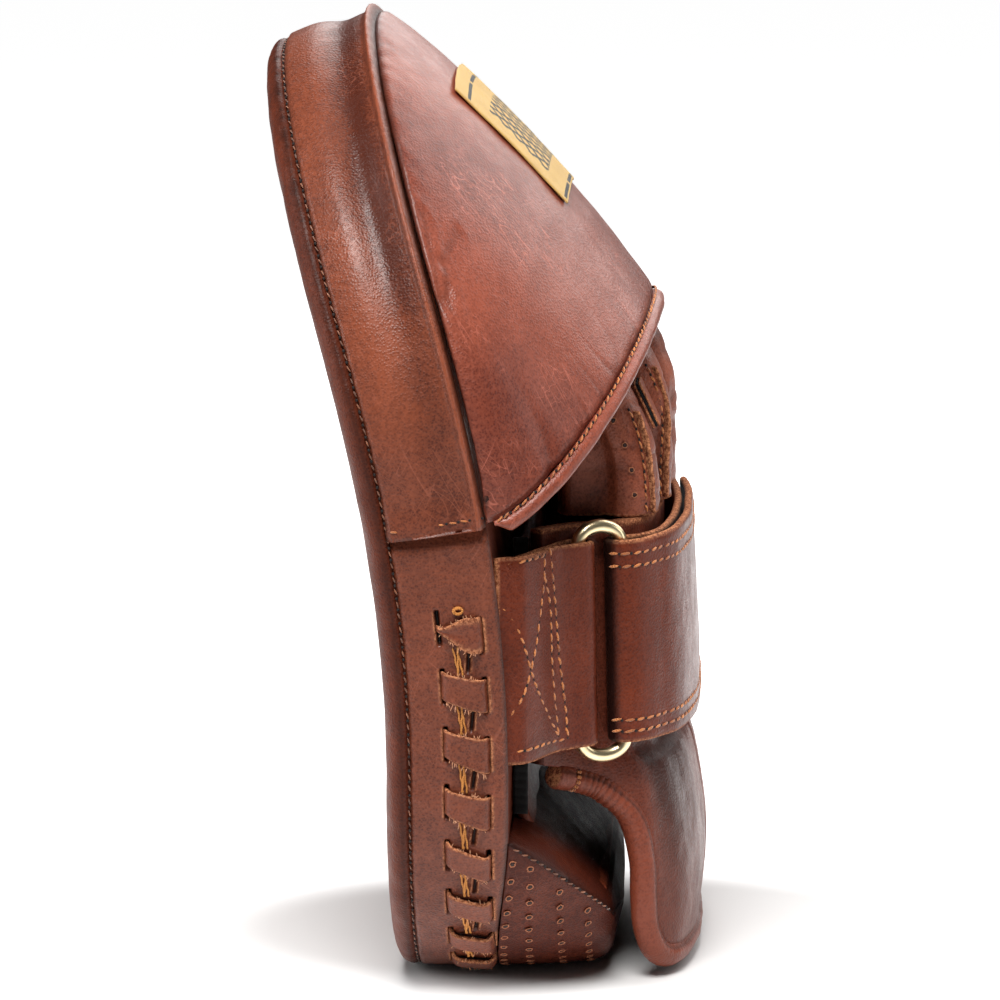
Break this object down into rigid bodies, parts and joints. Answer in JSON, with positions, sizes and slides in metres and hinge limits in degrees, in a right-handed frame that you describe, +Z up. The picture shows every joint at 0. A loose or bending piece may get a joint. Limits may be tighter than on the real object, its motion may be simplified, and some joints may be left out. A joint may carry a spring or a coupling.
{
  "type": "focus mitt",
  "caption": "Leather boxing focus mitt: a curved padded striking pad with a finger hood, a hollow glove, a laced edge and a ring-and-strap wrist fastening on its back.",
  "frame": {"origin": "middle of the flat stretch of gusset under the pad, which the mitt stands on", "axes": "+Z up towards the fingertips, the strike face looks along -Y, the hand side along +Y, the little finger is on +X"},
  "size_m": [0.1982, 0.1154, 0.2468],
  "materials": {
    "panel_leather": "waxed pull-up leather, satin",
    "gusset_leather": "waxed pull-up leather, satin",
    "hood_leather": "smooth padded leather, semi-gloss",
    "strap_leather": "smooth strap leather, semi-gloss, raw edges",
    "glove_leather": "soft glove leather, semi-gloss",
    "brass": "polished",
    "label_cloth": "woven ribbon",
    "elastic": "ribbed elastic webbing",
    "foam": "closed-cell foam"
  },
  "bodies": {
    "root": {"strike_panel": "panel_leather", "pad_core": "foam", "back_panel": "panel_leather", "upper_gusset": "gusset_leather", "lower_gusset": "gusset_leather", "lace": "gusset_leather", "hood": "hood_leather", "hood_hem": "hood_leather", "hood_label": "label_cloth", "anchor_strap": "strap_leather", "closure_strap": "strap_leather", "strap_ring": "brass", "glove_body": "glove_leather", "wrist_binding": "glove_leather", "little_finger_stall": "glove_leather", "ring_finger_stall": "glove_leather", "middle_finger_stall": "glove_leather", "index_finger_stall": "glove_leather", "thumb_stall": "glove_leather", "finger_tab": "glove_leather", "heel_bolster": "panel_leather", "palm_panel": "panel_leather", "side_elastic_near": "elastic", "side_elastic_far": "elastic"}
  },
  "joints": []
}
